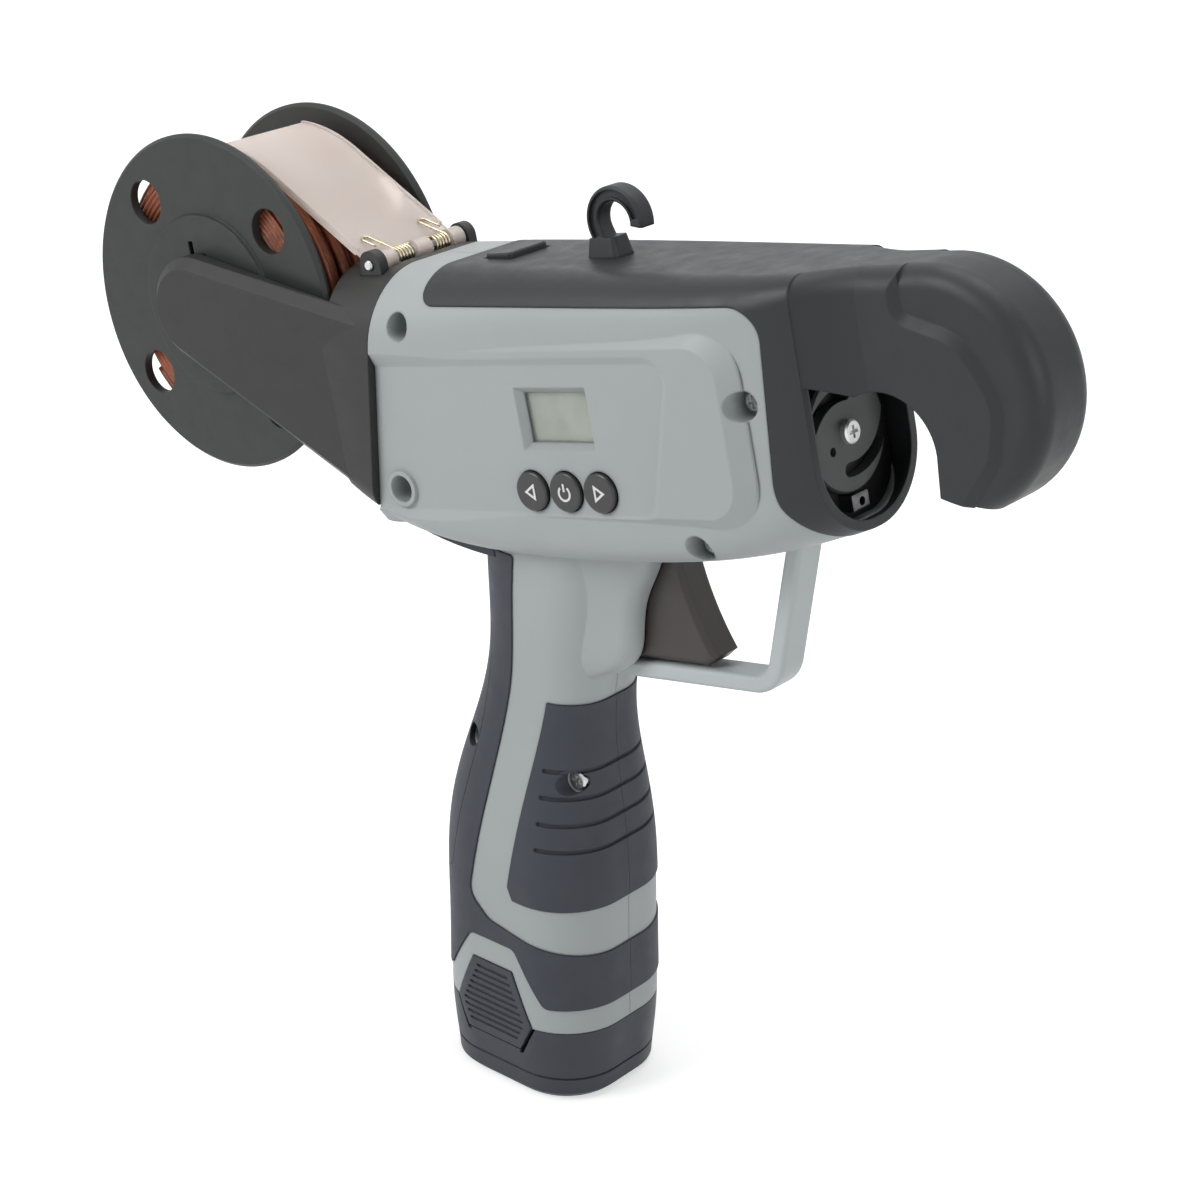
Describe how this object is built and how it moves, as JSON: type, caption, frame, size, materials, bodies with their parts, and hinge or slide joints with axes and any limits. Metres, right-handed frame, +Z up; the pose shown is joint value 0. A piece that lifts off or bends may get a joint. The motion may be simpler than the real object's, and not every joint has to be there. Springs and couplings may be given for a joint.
{
  "type": "electric vine tying tool",
  "caption": "Pistol-grip electric tying tool for vines: rear wire spool in a fork, display barrel, hooked jaw with twisting rotor, trigger and slide-in battery handle.",
  "frame": {"origin": "centre of the battery's flat base, which the tool can stand on", "axes": "+Z up the handle, +X towards the jaw, -Y is the operator's right, the display side; the barrel is pitched 13 degrees nose up"},
  "size_m": [0.3269, 0.071, 0.2789],
  "materials": {
    "shell_grey": "moulded, fine texture",
    "head_black": "satin black",
    "fork_grey": "dark grey satin",
    "grip_rubber": "soft overmould",
    "spool_plastic": "charcoal matte",
    "copper_wire": "lacquered copper wire",
    "clear_plastic": "milky clear plastic",
    "window_clear": "clear",
    "display": "blank display",
    "board": "circuit board",
    "button_black": "black",
    "trigger_brown": "brown-black",
    "battery_plastic": "dark blue-grey",
    "cell_wrap": "shrink wrap",
    "steel": "plain steel",
    "spring_steel": "golden spring wire",
    "brass": "brass",
    "rotor_dark": "dark moulded nylon",
    "inner_plastic": "dark nylon"
  },
  "bodies": {
    "tool": {"shell_right": "shell_grey", "shell_left": "shell_grey", "trigger_guard": "shell_grey", "head_cover": "head_black", "hang_hook": "head_black", "fork_right": "fork_grey", "fork_left": "fork_grey", "hinge_bracket": "fork_grey", "grip_right": "grip_rubber", "grip_left": "grip_rubber", "rear_grip_right": "grip_rubber", "rear_grip_left": "grip_rubber", "back_strap": "grip_rubber", "belly_pad": "grip_rubber", "display_window": "window_clear", "lcd_module": "display", "control_board": "board", "terminal_plate": "board", "trigger_switch": "battery_plastic", "housing_screws": "steel", "grip_screw": "steel", "hinge_pin": "steel", "trigger_pin": "steel", "ball_bearings": "steel", "jaw_wire_guide": "steel", "wire_nozzle": "steel", "twist_motor": "steel", "feed_motor": "steel", "feed_rails": "steel", "battery_contacts": "brass", "wire_guide_tube": "brass", "front_plate": "inner_plastic", "motor_plate": "inner_plastic", "nose_plate": "inner_plastic", "axle_stubs": "inner_plastic", "wire_inlet": "inner_plastic"},
    "spool": {"spool_flange_right": "spool_plastic", "spool_flange_left": "spool_plastic", "wire_pack": "copper_wire", "wire_outer_layer": "copper_wire"},
    "flap": {"cover_flap": "clear_plastic", "flap_springs": "spring_steel"},
    "left_arrow_key": {"button_left": "button_black"},
    "power_key": {"button_power": "button_black"},
    "right_arrow_key": {"button_right": "button_black"},
    "top_key": {"top_button": "head_black"},
    "trigger_lever": {"trigger": "trigger_brown"},
    "twister": {"rotor": "rotor_dark", "rotor_shaft": "steel", "rotor_screw": "steel", "twist_gear": "steel"},
    "twist_pinion": {"motor_pinion": "steel"},
    "feed_drive": {"feed_roller": "steel", "feed_gear": "steel"},
    "feed_motor_pinion": {"feed_pinion": "steel"},
    "pinch": {"pinch_roller": "steel"},
    "battery": {"battery_case": "battery_plastic", "battery_cells": "cell_wrap"},
    "latch_r": {"latch_right": "battery_plastic"},
    "latch_l": {"latch_left": "battery_plastic"}
  },
  "joints": [
    {"name": "spool_spin", "type": "hinge", "parent": "tool", "child": "spool", "pos_m": [-0.109, 0, 0.223], "axis": [0, 1, 0], "continuous": true},
    {"name": "flap_swing", "type": "hinge", "parent": "tool", "child": "flap", "pos_m": [-0.0479, 0, 0.24552], "axis": [0, 1, 0], "range_deg": [0, 100], "stiffness_Nm_per_rad": 0.03, "springref_deg": -28.65},
    {"name": "left_key_press", "type": "slide", "parent": "tool", "child": "left_arrow_key", "axis": [0, 1, 0], "range_m": [0, 0.0008], "stiffness_N_per_m": 600, "springref_m": -0.0004},
    {"name": "power_key_press", "type": "slide", "parent": "tool", "child": "power_key", "axis": [0, 1, 0], "range_m": [0, 0.0008], "stiffness_N_per_m": 600, "springref_m": -0.0004},
    {"name": "right_key_press", "type": "slide", "parent": "tool", "child": "right_arrow_key", "axis": [0, 1, 0], "range_m": [0, 0.0008], "stiffness_N_per_m": 600, "springref_m": -0.0004},
    {"name": "top_key_press", "type": "slide", "parent": "tool", "child": "top_key", "axis": [0.225, 0, -0.9744], "range_m": [0, 0.0012], "stiffness_N_per_m": 600, "springref_m": -0.0006},
    {"name": "trigger_pull", "type": "hinge", "parent": "tool", "child": "trigger_lever", "pos_m": [0.046, 0, 0.188], "axis": [0, 1, 0], "range_deg": [0, 8], "stiffness_Nm_per_rad": 0.8, "springref_deg": -8.59},
    {"name": "rotor_spin", "type": "hinge", "parent": "tool", "child": "twister", "pos_m": [0.09967, 0, 0.22602], "axis": [0.9744, 0, 0.225], "continuous": true},
    {"name": "twist_pinion_spin", "type": "hinge", "parent": "tool", "child": "twist_pinion", "pos_m": [0.06242, 0, 0.24066], "axis": [0.9744, 0, 0.225], "continuous": true},
    {"name": "feed_spin", "type": "hinge", "parent": "tool", "child": "feed_drive", "pos_m": [0.00058, 0, 0.19288], "axis": [0, 1, 0], "continuous": true},
    {"name": "feed_pinion_spin", "type": "hinge", "parent": "tool", "child": "feed_motor_pinion", "pos_m": [-0.00417, 0, 0.21349], "axis": [0, 1, 0], "continuous": true},
    {"name": "pinch_spin", "type": "hinge", "parent": "tool", "child": "pinch", "pos_m": [0.00391, 0, 0.17846], "axis": [0, 1, 0], "continuous": true},
    {"name": "battery_slide", "type": "slide", "parent": "tool", "child": "battery", "axis": [0, 0, -1], "range_m": [0, 0.062]},
    {"name": "latch_right_press", "type": "slide", "parent": "battery", "child": "latch_r", "axis": [0, 1, 0], "range_m": [0, 0.0016], "stiffness_N_per_m": 800, "springref_m": -0.0008},
    {"name": "latch_left_press", "type": "slide", "parent": "battery", "child": "latch_l", "axis": [0, -1, 0], "range_m": [0, 0.0016], "stiffness_N_per_m": 800, "springref_m": -0.0008}
  ],
  "couplings": [
    {"joint": "twist_pinion_spin", "follows": "rotor_spin", "ratio": -2.5},
    {"joint": "feed_pinion_spin", "follows": "feed_spin", "ratio": -2},
    {"joint": "pinch_spin", "follows": "feed_spin", "ratio": -1.3333}
  ]
}
